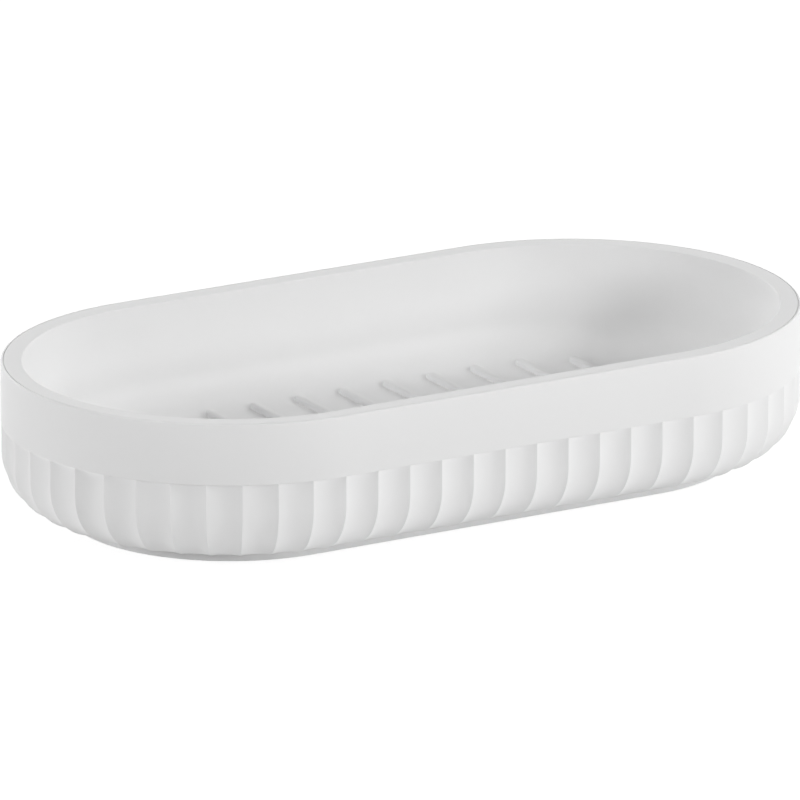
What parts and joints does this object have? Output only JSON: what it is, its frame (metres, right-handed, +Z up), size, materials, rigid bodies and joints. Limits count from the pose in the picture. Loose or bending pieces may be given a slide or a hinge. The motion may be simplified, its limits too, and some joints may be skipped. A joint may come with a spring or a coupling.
{
  "type": "soap dish",
  "caption": "Long soap dish with round ends: a smooth band over fluted sides that curl in to a smaller foot, and a bowl with raised ribs that hold the soap off its floor.",
  "frame": {"origin": "on the surface that the dish stands on, under the middle of its plan", "axes": "+X along the dish, +Y across it, +Z up"},
  "size_m": [0.14, 0.0746, 0.0266],
  "materials": {
    "white_moulding": "fine matt moulded white plastic",
    "foot_rubber": "soft matt pale grey rubber"
  },
  "bodies": {
    "root": {"soap_tray": "white_moulding", "fluted_shell": "white_moulding", "base_plate": "white_moulding", "foot_front_left": "foot_rubber", "foot_front_right": "foot_rubber", "foot_back_left": "foot_rubber", "foot_back_right": "foot_rubber"}
  },
  "joints": []
}
